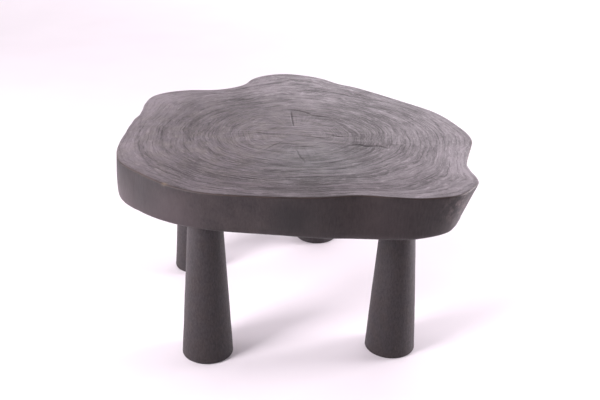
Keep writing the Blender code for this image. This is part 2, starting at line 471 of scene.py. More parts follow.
def bark_line(height):
    """Distance from the heart to the solid slab's edge at one height, for each column's bearing."""
    corners = np.array([v.co[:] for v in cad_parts["slab_top"].data.vertices])
    level = corners[np.abs(corners[:, 2] - height) < LEVEL_SLACK]
    from_heart = level[:, :2] - HEART
    bearings = np.degrees(np.arctan2(from_heart[:, 1], from_heart[:, 0]))
    reaches = np.hypot(from_heart[:, 0], from_heart[:, 1])
    order = np.argsort(bearings)
    return np.interp(column_bearings(), bearings[order], reaches[order], period=360.0)


def edge_swell(bearing, height, reach):
    """A rounded swell of the edge at one bearing, for each column."""
    turn = (column_bearings() - bearing + 180.0) % 360.0 - 180.0
    return height * MM * np.exp(-(turn / reach) ** 2)


def ring_edges():
    """Outer edge of each growth ring as a share of the way from heart to rim, in uneven years."""
    draw = random.Random(RING_SEED)
    widths = np.array([draw.uniform(*RING_WIDTHS) for _ in range(RINGS)])
    return np.concatenate(([0.0], np.cumsum(widths))) / widths.sum()


def ring_reach(way, aims, rim):
    """Distance from the heart to the rings: an oval, then the calmed outline, and at last the rim itself."""
    turns = np.minimum(column_bearings(), 360.0 - column_bearings())
    weights = np.exp(-0.5 * (turns / OUTLINE_CALM) ** 2)
    calm = np.real(np.fft.ifft(np.fft.fft(rim) * np.fft.fft(weights / weights.sum())))
    core = CORE_RADIUS / np.hypot(aims[:, 0] / (1 + CORE_OVAL), aims[:, 1] / (1 - CORE_OVAL))
    taken = smooth(way, *OUTLINE_TAKEN)
    reach = way * (core * (1 - taken) + calm * taken) + (rim - calm) * way ** RIM_POWER
    free = smooth(way, *WANDERS_FROM_HEART) * smooth(1 - way, *WANDERS_FROM_RIM)
    for height, pace_round, pace_out, start in RING_WANDERS:
        reach = reach + free * height * plan_noise(aims * pace_round + start, way * pace_out)
    return reach


def eased_run(run):
    """Close points, in metres, along a smooth curve through a run's places."""
    places = np.array(run) * MM
    around = np.concatenate((2 * places[:1] - places[1:2], places, 2 * places[-1:] - places[-2:-1]))
    share = np.arange(RUN_STEPS)[:, None] / RUN_STEPS
    stretches = []
    for before, start, end, after in zip(around, around[1:], around[2:], around[3:]):
        bend = 2 * before - 5 * start + 4 * end - after
        twist = 3 * (start - end) + after - before
        stretches.append(start + 0.5 * share * ((end - before) + share * (bend + share * twist)))
    return np.concatenate(stretches + [places[-1:]])


def distance_to_run(places, run):
    """Distance from each place to a run of straight stretches, and how far along it the nearest point is."""
    nearest = np.full(places.shape[:-1], np.inf)
    along = np.zeros(places.shape[:-1])
    stretches = len(run) - 1
    for index in range(stretches):
        reach = run[index + 1] - run[index]
        share = np.clip(((places - run[index]) @ reach) / (reach @ reach), 0.0, 1.0)
        gap = np.linalg.norm(places - run[index] - share[..., None] * reach, axis=-1)
        closer = gap < nearest
        nearest = np.where(closer, gap, nearest)
        along = np.where(closer, (index + share) / stretches, along)
    return nearest, along


def band(reach, height, growth, wear=0.0, check=0.0, bark=0.0):
    """One band of the slab's rows: distance from the heart, height and marks, for every row and column."""
    values = (reach, height, growth, wear, check, bark)
    shape = np.broadcast_shapes(*(np.shape(value) for value in values))
    return np.stack([np.broadcast_to(value, shape) for value in values])


def ringed_top(aims, rim):
    """The top: year rings in relief, soft early wood worn low and hard late wood proud, with its marks."""
    years = np.array([ring + share for ring in range(RINGS) for share in RING_ROWS])[:, None]
    way = np.interp(years, np.arange(RINGS + 1), ring_edges())
    reach = ring_reach(way, aims, rim - TOP_ARRIS)
    places = HEART + reach[..., None] * aims

    pace_round, pace_out = RELIEF_PACE
    relief = RELIEF_MEAN + RELIEF_SWING * plan_noise(aims * pace_round, pace_out * np.arange(RINGS)[:, None])
    relief = np.repeat(np.clip(relief, RELIEF_LEAST, None), len(RING_ROWS), axis=0)
    relief = relief * (HEART_RELIEF + (1 - HEART_RELIEF) * smooth(way, *RELIEF_FROM_HEART))
    drop = np.tile(ROW_DROPS, RINGS)[:, None] * relief * smooth(1 - way, *RELIEF_FROM_RIM)
    planed = 0.5 + 0.5 * plan_noise(places / PLANED_LENGTH, 0.0)
    drop = drop + PLANED_HEIGHT * planed * smooth(1 - way, *PLANED_FROM_RIM)

    opened = np.zeros(reach.shape)
    shift = np.stack([plan_noise(places / MARK_WANDER_LENGTH, level) for level in (3.0, 9.0)], axis=-1)
    for run, half_width, depth, darkness in MARKS:
        gap, along = distance_to_run(places + MARK_WANDER * shift, eased_run(run))
        taper = MARK_ENDS + (1 - MARK_ENDS) * np.sqrt(np.clip(4 * along * (1 - along), 0.0, 1.0))
        mark = np.clip(1 - gap / (half_width * MM), 0.0, 1.0) * taper
        drop = drop + depth * MM * mark
        opened = np.maximum(opened, darkness * mark)
    return band(reach, SLAB_TOP - drop, years, check=opened)


def bark_side(aims, rim, waist):
    """The side: the eased upper edge, the fluted wall leaning to the underside, the rounded lower edge."""
    drawn_in = edge_swell(*DRAWN_IN)
    wall_low = SLAB_UNDERSIDE + BOTTOM_ROUND
    wall_high = SLAB_TOP - TOP_ARRIS

    def fluted(level):
        return sum(height * plan_noise(aims * pace, level / length) for height, pace, length in FLUTES)

    turn = math.radians(90) * np.linspace(0.0, 1.0, ARRIS_ROWS)[:, None]
    mean, swing, pace = ARRIS_RUB
    rub = np.clip(mean + swing * plan_noise(aims * pace, 0.0), 0.0, 1.0)
    arris = band(rim - TOP_ARRIS * (1 - np.sin(turn)) + fluted(wall_high) * np.sin(turn),
                 SLAB_TOP - TOP_ARRIS * (1 - np.cos(turn)), RINGS, wear=rub * np.cos(turn), bark=turn > 0)
    share = np.linspace(0.0, 1.0, WALL_ROWS + 1)[1:, None]
    level = wall_high + (wall_low - wall_high) * share
    lean = (waist + drawn_in - rim) * share - drawn_in * share ** DRAWN_POWER
    wall = band(rim + lean + fluted(level), level, RINGS, bark=1.0)
    turn = math.radians(90) * np.linspace(0.0, 1.0, ROUND_ROWS + 1)[1:, None]
    lower = band(waist - BOTTOM_ROUND * (1 - np.cos(turn)) + fluted(wall_low) * np.cos(turn),
                 wall_low - BOTTOM_ROUND * np.sin(turn), RINGS, bark=1.0)
    return np.concatenate((arris, wall, lower), axis=1)


def tree_section():
    """The slab: a sheet wrapped from the heart over the rings, down the side and back under to the heart."""
    bearings = np.radians(column_bearings())
    aims = np.stack((np.cos(bearings), np.sin(bearings)), axis=-1)
    swells = sum(edge_swell(*swell) for swell in EDGE_SWELLS)
    rim = bark_line(SLAB_TOP - TOP_ARRIS) + swells
    waist = bark_line(SLAB_UNDERSIDE + BOTTOM_ROUND) + swells - edge_swell(*DRAWN_IN)
    share = np.linspace(1.0, 0.0, UNDERSIDE_ROWS + 2)[1:-1, None]
    underside = band((waist - BOTTOM_ROUND) * share, SLAB_UNDERSIDE, RINGS * share)
    rows = np.concatenate((ringed_top(aims, rim), bark_side(aims, rim, waist), underside), axis=1)
    reach, height, growth, wear, check, bark = rows

    gap, _ = distance_to_run(HEART + reach[..., None] * aims, np.array(CHIP_RUN) * MM)
    fade_high, fade_low = CHIP_FADES
    chip = np.clip(1 + CHIP_FLAT - gap / CHIP_HALF, 0.0, 1.0)
    chip = chip * smooth(height, SLAB_TOP - fade_low, SLAB_TOP - fade_high)
    marks = {"growth": growth, "wear": wear, "check": check, "chip": chip, "bark": bark}
    slab = wrap_sheet("tree_section_slab", HEART, reach - CHIP_IN * chip, height - CHIP_DOWN * chip, marks)
    cut_insert_seats(slab)

    # End grain on the top and the underside, long grain on the side
    mesh = slab.data
    on_bark = np.empty(len(mesh.vertices), np.float32)
    mesh.attributes["bark"].data.foreach_get("value", on_bark)
    mesh.materials.append(end_grain_material())
    mesh.materials.append(live_edge_material())
    for face in mesh.polygons:
        face.material_index = int(all(on_bark[vertex] > 0.5 for vertex in face.vertices))
    bpy.ops.object.shade_smooth_by_angle(angle=SOFT_EDGE)
    return slab


def cut_insert_seats(slab):
    """Bores the slab's underside for the four threaded inserts and their flanges."""
    shoulder = FLANGE_THICKNESS + SEAT_GAP
    reach = np.array((FLANGE_RADIUS, FLANGE_RADIUS, INSERT_CREST, INSERT_CREST)) + SEAT_GAP
    height = SLAB_UNDERSIDE + np.array((-SEAT_OVERLAP, shoulder, shoulder, SEAT_DEPTH))
    ring = np.ones((1, HARDWARE_COLUMNS))
    seats = wrap_sheet("insert_seats", middle_of(f"threaded_insert_{CORNERS[0]}"),
                       reach[:, None] * ring, height[:, None] * ring, {})
    others = [copy_to_corner(seats, "insert_seat", "threaded_insert", corner) for corner in CORNERS[1:]]
    select_alone(seats)
    for seat in others:
        seat.select_set(True)
    bpy.ops.object.join()
    select_alone(slab)
    cut = slab.modifiers.new("seats", "BOOLEAN")
    cut.object = seats
    cut.solver = "EXACT"
    bpy.ops.object.modifier_apply(modifier=cut.name)
    bpy.data.objects.remove(seats)


# The legs: turned cones with a rounded foot, a chamfered top and a bore for the hanger bolt


def select_edges(piece, wanted):
    """Selects the edges whose two ends pass a test, and opens edit mode on them."""
    bpy.ops.object.mode_set(mode="OBJECT")
    mesh = piece.data
    for part in (mesh.vertices, mesh.edges, mesh.polygons):
        part.foreach_set("select", np.zeros(len(part), bool))
    for edge in mesh.edges:
        edge.select = wanted(*(mesh.vertices[v].co for v in edge.vertices))
    bpy.context.tool_settings.mesh_select_mode = (False, True, False)
    bpy.ops.object.mode_set(mode="EDIT")


def turned_leg():
    """The first leg, as it comes off the lathe: a cone with a wide foot, eased edges and a bored top."""
    node = f"leg_{CORNERS[0]}"
    low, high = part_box(node)
    bpy.ops.object.select_all(action="DESELECT")
    bpy.ops.mesh.primitive_cone_add(vertices=LEG_SEGMENTS, radius1=FOOT_RADIUS, radius2=LEG_TOP_RADIUS,
                                    depth=high.z - low.z, location=middle_of(node))
    leg = bpy.context.object
    bpy.ops.object.transform_apply(location=True, rotation=True, scale=True)
    select_edges(leg, lambda a, b: abs(a.z - b.z) > 0.5 * (high.z - low.z))
    bpy.ops.mesh.subdivide(number_cuts=LEG_CUTS)
    select_edges(leg, lambda a, b: max(a.z, b.z) < low.z + MM)
    bpy.ops.mesh.bevel(offset=FOOT_ROUND, segments=FOOT_ROUND_STEPS, affect="EDGES", profile=0.5)
    select_edges(leg, lambda a, b: min(a.z, b.z) > high.z - MM)
    bpy.ops.mesh.bevel(offset=LEG_TOP_CHAMFER, segments=LEG_TOP_STEPS, affect="EDGES", profile=0.5)
    bpy.ops.mesh.select_all(action="DESELECT")
    bpy.ops.object.mode_set(mode="OBJECT")
    for face in leg.data.polygons:
        face.select = len(face.vertices) == LEG_SEGMENTS and face.normal.z > 0.9
    bpy.context.tool_settings.mesh_select_mode = (False, False, True)
    bpy.ops.object.mode_set(mode="EDIT")
    bpy.ops.mesh.inset(thickness=LEG_TOP_RADIUS - LEG_TOP_CHAMFER - LEG_BORE_RADIUS)
    bpy.ops.mesh.extrude_region_move(TRANSFORM_OT_translate={"value": (0, 0, -LEG_BORE_DEPTH)})
    bpy.ops.object.mode_set(mode="OBJECT")
    bpy.ops.object.shade_smooth_by_angle(angle=LEG_SOFT_EDGE)
    leg.data.materials.append(turned_leg_material())
    return leg


def raise_grain(leg, node):
    """Gives a leg's side its raised grain and the turner's slight unevenness, by the leg's own place."""
    axis = middle_of(node)
    side_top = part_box(node)[1].z - 2 * LEG_TOP_CHAMFER
    for vertex in leg.data.vertices:
        out = Vector((vertex.co.x - axis.x, vertex.co.y - axis.y))
        if out.length < LEG_TOP_RADIUS - 2 * MM or vertex.co.z > side_top:
            continue
        aim = out.normalized()
        shift = -LEG_LOSS
        for height, pace, length, start in LEG_WAVES:
            place = Vector((aim.x * pace, aim.y * pace, vertex.co.z / length)) + axis * start
            shift += height * noise.noise(place)
        vertex.co.x += aim.x * shift
        vertex.co.y += aim.y * shift


# The hardware: hanger bolts, half wood screw and half machine thread, and the brass inserts that take them


def threaded(levels, pitch, root, crest, sharpness):
    """Distance from the axis to a thread's surface, for each level and column; sharp crests are thin."""
    turn = (levels[:, None] / pitch - np.arange(HARDWARE_COLUMNS) / HARDWARE_COLUMNS) % 1.0
    tooth = np.clip(1 - sharpness * np.abs(2 * turn - 1), 0.0, 1.0)
    return root + (crest - root) * tooth


def hanger_bolt():
    """The first bolt: coarse screw and point down in the leg, bare shank, machine thread in the insert."""
    node = f"hanger_bolt_{CORNERS[0]}"
    low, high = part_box(node)
    levels = np.arange(low.z, high.z + THREAD_STEP / 2, THREAD_STEP)
    shank_low = SLAB_UNDERSIDE - BOLT_SHANK_LENGTH
    screw = threaded(levels, SCREW_PITCH, SCREW_ROOT, BOLT_CREST, SCREW_SHARPNESS)
    machine = threaded(levels, BOLT_PITCH, BOLT_ROOT, BOLT_CREST, BOLT_SHARPNESS)
    level = levels[:, None]
    reach = np.where(level < shank_low, screw, np.where(level < SLAB_UNDERSIDE, BOLT_SHANK, machine))
    reach = reach * np.clip((level - low.z) / BOLT_POINT, BOLT_TIP_SHARE, 1.0)
    reach = np.minimum(reach, BOLT_END_RADIUS + (high.z - level))
    height = np.broadcast_to(np.minimum(level, high.z), reach.shape)
    bolt = wrap_sheet("zinc_hanger_bolt", middle_of(node), reach, height, {})
    bpy.ops.object.shade_smooth_by_angle(angle=SOFT_EDGE)
    bolt.data.materials.append(plated_steel_material())
    return bolt


def threaded_insert():
    """The first insert: a flange under the slab, a coarse outer thread and a fine one in the bore."""
    node = f"threaded_insert_{CORNERS[0]}"
    low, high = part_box(node)
    outer_levels = np.arange(low.z + FLANGE_THICKNESS, high.z, THREAD_STEP)
    bore_levels = np.arange(high.z, low.z, -THREAD_STEP)
    ring = np.ones((1, HARDWARE_COLUMNS))
    outer = threaded(outer_levels, INSERT_PITCH, INSERT_ROOT, INSERT_CREST, INSERT_SHARPNESS)
    bore = threaded(bore_levels, BOLT_PITCH, INSERT_BORE_ROOT, INSERT_BORE, BOLT_SHARPNESS)
    reach = np.concatenate((FLANGE_RADIUS * ring, FLANGE_RADIUS * ring, outer, bore, INSERT_BORE * ring))
    levels = np.concatenate(((low.z, low.z + FLANGE_THICKNESS), outer_levels, bore_levels, (low.z,)))
    insert = wrap_sheet("brass_insert", middle_of(node), reach, levels[:, None] * ring, {}, tube=True)
    bpy.ops.object.shade_smooth_by_angle(angle=SOFT_EDGE)
    insert.data.materials.append(turned_brass_material())
    return insert


# Materials


def fading_patch(tree, place, middle, reach, share):
    """A share that is full in a patch's middle, given in metres, and fades to nothing at its reach."""
    gap = add_node(tree, "VectorMath", "Value", {0: place, 1: middle}, operation="DISTANCE")
    return add_node(tree, "MapRange", "Result",
                    {"Value": gap, "From Max": reach * MM, "To Min": share, "To Max": 0.0},
                    interpolation_type="SMOOTHSTEP")


def top_patch(tree, place, middle, reach, share):
    """A fading patch on the slab's top."""
    across, back = middle
    return fading_patch(tree, place, (across * MM, back * MM, SLAB_TOP), reach, share)


def add_swing(tree, pattern, weight, tone):
    """Adds a pattern's swing about its middle, times a weight, to a tone."""
    swing = add_node(tree, "Math", "Value", {0: pattern, 1: 0.5}, operation="SUBTRACT")
    return add_node(tree, "Math", "Value", {0: swing, 1: weight, 2: tone}, operation="MULTIPLY_ADD")


def along_rings(tree, place, years, length, per_year):
    """Where to read a noise drawn out along the rings, by its length in millimetres and turns in a year."""
    pace = 1 / (length * MM)
    flat = add_node(tree, "VectorMath", "Vector", {0: place, 1: (pace, pace, 0.0)}, operation="MULTIPLY")
    lift = add_node(tree, "Math", "Value", {0: years, 1: per_year}, operation="MULTIPLY")
    rise = add_node(tree, "CombineXYZ", "Vector", {"Z": lift})
    return add_node(tree, "VectorMath", "Vector", {0: flat, 1: rise}, operation="ADD")


def ring_stain(tree, place, years, fibres):
    """Swing of the stain with the rings: slow bands and long streaks, crossing fibres, clouds, pale flecks,
    the tone that each year has of its own, and the dark line of late wood at its end."""
    swing = 0.0
    for length, per_year, detail, weight in STAIN_STREAKS:
        streak = add_node(tree, "TexNoise", "Fac",
                          {"Vector": along_rings(tree, place, years, length, per_year),
                           "Scale": 1.0, "Detail": detail, "Roughness": 0.65})
        swing = add_swing(tree, streak, weight, swing)
    swing = add_swing(tree, fibres, FIBRES[1], swing)
    length, weight = CLOUDS
    cloud = add_node(tree, "TexNoise", "Fac",
                     {"Vector": place, "Scale": 1 / (length * MM), "Detail": 2.0, "Roughness": 0.55})
    swing = add_swing(tree, cloud, weight, swing)
    length, per_year, weight = FLECKS
    fleck = add_node(tree, "TexNoise", "Fac",
                     {"Vector": along_rings(tree, place, years, length, per_year),
                      "Scale": 1.0, "Detail": 2.0, "Roughness": 0.6})
    fleck = add_node(tree, "MapRange", "Result",
                     {"Value": fleck, "From Min": 0.55, "From Max": 0.72, "To Max": weight})
    swing = add_node(tree, "Math", "Value", {0: fleck, 1: swing}, operation="ADD")
    ring = add_node(tree, "Math", "Value", {0: years}, operation="FLOOR")
    own = add_node(tree, "TexWhiteNoise", "Value", {"W": ring}, noise_dimensions="1D")
    swing = add_swing(tree, own, YEAR_WEIGHT, swing)

    begin, full, weight = LATE_WOOD
    late = add_node(tree, "Math", "Value", {0: years}, operation="FRACT")
    late = add_node(tree, "MapRange", "Result", {"Value": late, "From Min": begin, "From Max": full})
    strong = add_node(tree, "TexNoise", "Fac",
                      {"Vector": along_rings(tree, place, years, *LATE_STRETCHES), "Scale": 1.0})
    faint, full = LATE_RANGE
    strong = add_node(tree, "MapRange", "Result", {"Value": strong, "From Min": faint, "From Max": full})
    late = add_node(tree, "Math", "Value", {0: late, 1: strong}, operation="MULTIPLY")
    return add_node(tree, "Math", "Value", {0: late, 1: -weight, 2: swing}, operation="MULTIPLY_ADD")


def add_heart_rays(tree, place, growth, swing):
    """Adds the rays that run out from the heart across its rings."""
    out = add_node(tree, "VectorMath", "Vector",
                   {0: place, 1: (HEART[0], HEART[1], 0.0)}, operation="SUBTRACT")
    out = add_node(tree, "VectorMath", "Vector", {0: out, 1: (1.0, 1.0, 0.0)}, operation="MULTIPLY")
    far = add_node(tree, "VectorMath", "Value", {0: out}, operation="LENGTH")
    far = add_node(tree, "Math", "Value", {0: far, 1: RAY_LENGTH * MM}, operation="DIVIDE")
    rise = add_node(tree, "CombineXYZ", "Vector", {"Z": far})
    aim = add_node(tree, "VectorMath", "Vector", {0: out}, operation="NORMALIZE")
    aim = add_node(tree, "VectorMath", "Vector", {0: aim, "Scale": RAYS / math.tau}, operation="SCALE")
    aim = add_node(tree, "VectorMath", "Vector", {0: aim, 1: rise}, operation="ADD")
    ray = add_node(tree, "TexNoise", "Fac", {"Vector": aim, "Scale": 1.0, "Detail": 2.0, "Roughness": 0.6})
    first, last = RAYS_BEGIN
    begun = add_node(tree, "MapRange", "Result", {"Value": growth, "From Min": first, "From Max": last})
    first, last = RAYS_END
    left = add_node(tree, "MapRange", "Result",
                    {"Value": growth, "From Min": first, "From Max": last,
                     "To Min": RAY_WEIGHT, "To Max": 0.0})
    weight = add_node(tree, "Math", "Value", {0: begun, 1: left}, operation="MULTIPLY")
    return add_swing(tree, ray, weight, swing)


def streak_contrast(tree, place, growth):
    """How much the streaks stand out: less in the heart and at the left end, more in the back lobe."""
    first, last, share = HEART_CALM
    calm = add_node(tree, "MapRange", "Result",
                    {"Value": growth, "From Min": first, "From Max": last, "To Min": share, "To Max": 1.0})
    begin, end, share = BACK_STREAKS
    depth = add_node(tree, "SeparateXYZ", "Y", {"Vector": place})
    lobe = add_node(tree, "MapRange", "Result",
                    {"Value": depth, "From Min": begin * MM, "From Max": end * MM,
                     "To Min": 1.0, "To Max": share})
    calm = add_node(tree, "Math", "Value", {0: calm, 1: lobe}, operation="MULTIPLY")
    begin, end, share = LEFT_STREAKS
    across = add_node(tree, "SeparateXYZ", "X", {"Vector": place})
    left = add_node(tree, "MapRange", "Result",
                    {"Value": across, "From Min": begin * MM, "From Max": end * MM,
                     "To Min": share, "To Max": 1.0})
    return add_node(tree, "Math", "Value", {0: calm, 1: left}, operation="MULTIPLY")


def add_brush_strokes(tree, place, growth, tone):
    """Adds the wavy strokes of the brush across the heart."""
    length, height = STROKE_WAVES
    wave = add_node(tree, "TexNoise", "Color", {"Vector": place, "Scale": 1 / (length * MM), "Detail": 1.0})
    wave = add_node(tree, "VectorMath", "Vector",
                    {0: wave, 1: (height * MM, height * MM, 0.0), 2: place}, operation="MULTIPLY_ADD")
    length, width, weight = STROKES
    stroke = add_node(tree, "VectorMath", "Vector",
                      {0: wave, 1: (1 / (length * MM), 1 / (width * MM), 0.0)}, operation="MULTIPLY")
    stroke = add_node(tree, "TexNoise", "Fac",
                      {"Vector": stroke, "Scale": 1.0, "Detail": 2.0, "Roughness": 0.6})
    first, last = STROKES_END
    left = add_node(tree, "MapRange", "Result",
                    {"Value": growth, "From Min": first, "From Max": last, "To Min": weight, "To Max": 0.0})
    return add_swing(tree, stroke, left, tone)


def end_grain_tone(tree, place, fibres):
    """Tone of the stain on end grain, from 0 for the deepest to 1 for the palest."""
    growth = add_node(tree, "Attribute", "Fac", {}, attribute_name="growth")

    # Years, counted from the heart, with slow wanders and fine ripples
    years = growth
    for length, swing in RING_SWINGS:
        ripple = add_node(tree, "TexNoise", "Fac",
                          {"Vector": place, "Scale": 1 / (length * MM), "Detail": 1.0})
        years = add_node(tree, "Math", "Value", {0: ripple, 1: swing, 2: years}, operation="MULTIPLY_ADD")
    swing = ring_stain(tree, place, years, fibres)
    swing = add_heart_rays(tree, place, growth, swing)
    contrast = streak_contrast(tree, place, growth)
    tone = add_node(tree, "Math", "Value", {0: swing, 1: contrast, 2: BASE_TONE}, operation="MULTIPLY_ADD")
    tone = add_brush_strokes(tree, place, growth, tone)

    # Sapwood takes less of the stain, the rim in front more, and patches of the top more or less
    first, last, lift = SAPWOOD
    sapwood = add_node(tree, "MapRange", "Result",
                       {"Value": years, "From Min": first, "From Max": last, "To Max": lift})
    tone = add_node(tree, "Math", "Value", {0: sapwood, 1: tone}, operation="ADD")
    begin, end, shift = RIM_SOAK
    depth = add_node(tree, "SeparateXYZ", "Y", {"Vector": place})
    front = add_node(tree, "MapRange", "Result",
                     {"Value": depth, "From Min": begin * MM, "From Max": end * MM, "To Max": shift})
    rim = add_node(tree, "MapRange", "Result", {"Value": growth, "From Min": RIM_YEAR, "From Max": RINGS})
    tone = add_node(tree, "Math", "Value", {0: rim, 1: front, 2: tone}, operation="MULTIPLY_ADD")
    for middle, reach, shift in SOAKED_PATCHES:
        soak = top_patch(tree, place, middle, reach, shift)
        tone = add_node(tree, "Math", "Value", {0: soak, 1: tone}, operation="ADD")
    return tone


def end_grain_material():
    """Hardwood end grain, sanded and stained black: matt, with fine year lines and streaks along the rings
    where the stain sank in more or less, a paler band of sapwood, and a trace of brown and of grey."""
    material, tree = new_material("black_stained_end_grain")
    place = add_node(tree, "TexCoord", "Object", {})
    wear, check, chip = (add_node(tree, "Attribute", "Fac", {}, attribute_name=mark)
                         for mark in ("wear", "check", "chip"))
    fibres = add_node(tree, "TexNoise", "Fac",
                      {"Vector": place, "Scale": 1 / (FIBRES[0] * MM), "Detail": 2.0, "Roughness": 0.6})
    tone = end_grain_tone(tree, place, fibres)

    colour = add_node(tree, "Mix", 2, {0: tone, 6: linear("#291d20"), 7: linear("#7c7177")},
                      data_type="RGBA")
    browned = add_node(tree, "Mix", 2, {0: tone, 6: linear("#2a1d1c"), 7: linear("#7c7270")},
                       data_type="RGBA")
    greyed = add_node(tree, "Mix", 2, {0: tone, 6: linear("#242424"), 7: linear("#6e7372")},
                      data_type="RGBA")
    tinge = add_node(tree, "TexNoise", "Fac",
                     {"Vector": place, "Scale": 1 / (TINGE_LENGTH * MM), "Detail": 1.0})
    tinge = add_node(tree, "MapRange", "Result", {"Value": tinge, "From Min": 0.4, "From Max": 0.65})
    brown = top_patch(tree, place, *BROWN_PATCH)
    tinge = add_node(tree, "Math", "Value", {0: tinge, 1: brown}, operation="MULTIPLY")
    grey = top_patch(tree, place, *GREY_PATCH)
    worn = add_node(tree, "Math", "Value", {0: wear, 1: END_GRAIN_WEAR}, operation="MULTIPLY")
    for share, over in ((tinge, browned), (grey, greyed), (check, linear("#1b1718")),
                        (worn, linear("#3f3431")), (chip, linear("#7a6c5e"))):
        colour = add_node(tree, "Mix", 2, {0: share, 6: colour, 7: over}, data_type="RGBA")

    # Deep streaks are open pores, duller and lower than the wood between them
    rough = add_node(tree, "MapRange", "Result", {"Value": tone, "To Min": 0.62, "To Max": 0.48})
    rough = add_node(tree, "Math", "Value", {0: check, 1: 0.25, 2: rough}, operation="MULTIPLY_ADD")
    height = add_swing(tree, fibres, 0.5, tone)
    bump = add_node(tree, "Bump", "Normal", {"Height": height, "Strength": 0.5, "Distance": 0.35 * MM})
    shader = add_node(tree, "BsdfPrincipled", "BSDF",
                      {"Base Color": colour, "Roughness": rough, "Normal": bump, "IOR": 1.5})
    add_node(tree, "OutputMaterial", None, {"Surface": shader})
    return material


def live_edge_material():
    """The trunk's own face under the bark, sanded and stained black: dark, faintly mottled, with fine
    upright grain, a rubbed upper edge, stain scuffed in places, and painted light at the left end: darker
    above as painted shade, paler below as painted bounce light from the floor."""
    material, tree = new_material("black_stained_live_edge")
    place = add_node(tree, "TexCoord", "Object", {})
    wear = add_node(tree, "Attribute", "Fac", {}, attribute_name="wear")
    chip = add_node(tree, "Attribute", "Fac", {}, attribute_name="chip")
    width, length = EDGE_GRAIN
    upright = add_node(tree, "VectorMath", "Vector",
                       {0: place, 1: (1 / (width * MM), 1 / (width * MM), 1 / (length * MM))},
                       operation="MULTIPLY")
    grain = add_node(tree, "TexNoise", "Fac",
                     {"Vector": upright, "Scale": 1.0, "Detail": 4.0, "Roughness": 0.65})
    share = add_node(tree, "MapRange", "Result", {"Value": grain, "From Min": 0.3, "From Max": 0.7})
    tone = add_node(tree, "Mix", 2, {0: share, 6: linear("#191314"), 7: linear("#292223")}, data_type="RGBA")
    blotch = add_node(tree, "TexNoise", "Fac",
                      {"Vector": place, "Scale": 1 / (EDGE_BLOTCHES * MM), "Detail": 5.0, "Roughness": 0.75})
    blotch = add_node(tree, "MapRange", "Result",
                      {"Value": blotch, "From Min": 0.40, "From Max": 0.70, "To Max": 0.6})
    tone = add_node(tree, "Mix", 2, {0: blotch, 6: tone, 7: linear("#3a3130")}, data_type="RGBA")

    # Painted light at the left end: darker above as painted shade, paler below as painted bounce light
    # from the floor; the patch is also duller above and glossier below
    middle, reach, share = LEFT_END_PAINTED_LIGHT
    near = fading_patch(tree, place, Vector(middle) * MM, reach, share)
    level = add_node(tree, "SeparateXYZ", "Z", {"Vector": place})
    low = add_node(tree, "MapRange", "Result",
                   {"Value": level, "From Min": SLAB_TOP, "From Max": SLAB_UNDERSIDE})
    painted_gradient = add_node(tree, "Mix", 2, {0: low, 6: linear("#100b0c"), 7: linear("#443b3d")}, data_type="RGBA")
    tone = add_node(tree, "Mix", 2, {0: near, 6: tone, 7: painted_gradient}, data_type="RGBA")
    above, below = LEFT_END_DULLNESS
    dull = add_node(tree, "MapRange", "Result",
                    {"Value": level, "From Min": SLAB_TOP, "From Max": SLAB_UNDERSIDE,
                     "To Min": above, "To Max": below})
    dull = add_node(tree, "Math", "Value", {0: near, 1: dull}, operation="MULTIPLY")

    # Uneven stain in front, scuffs at the right end, the rubbed upper edge and the chip
    for middle, reach, share, colour in SIDE_PATCHES:
        near = fading_patch(tree, place, Vector(middle) * MM, reach, share)
        tone = add_node(tree, "Mix", 2, {0: near, 6: tone, 7: linear(colour)}, data_type="RGBA")
    middle, reach, share = SCUFFS
    near = fading_patch(tree, place, Vector(middle) * MM, reach, share)
    scrape = add_node(tree, "TexNoise", "Fac",
                      {"Vector": place, "Scale": 1 / (EDGE_SCRAPES * MM), "Detail": 3.0, "Roughness": 0.6})
    scrape = add_node(tree, "MapRange", "Result", {"Value": scrape, "From Min": 0.45, "From Max": 0.65})
    scuff = add_node(tree, "Math", "Value", {0: near, 1: scrape}, operation="MULTIPLY")
    worn = add_node(tree, "Math", "Value", {0: wear, 1: LIVE_EDGE_WEAR}, operation="MULTIPLY")
    for share, over in ((scuff, "#5e5250"), (worn, "#5a4a42"), (chip, "#6f6152")):
        tone = add_node(tree, "Mix", 2, {0: share, 6: tone, 7: linear(over)}, data_type="RGBA")

    rough = add_node(tree, "MapRange", "Result",
                     {"Value": grain, "From Min": 0.3, "From Max": 0.7, "To Min": 0.62, "To Max": 0.5})
    rough = add_node(tree, "Math", "Value", {0: dull, 1: rough}, operation="ADD")
    bump = add_node(tree, "Bump", "Normal", {"Height": grain, "Strength": 0.4, "Distance": 0.4 * MM})
    shader = add_node(tree, "BsdfPrincipled", "BSDF",
                      {"Base Color": tone, "Roughness": rough, "Normal": bump, "IOR": 1.5,
                       "Specular IOR Level": 0.42})
    add_node(tree, "OutputMaterial", None, {"Surface": shader})
    return material


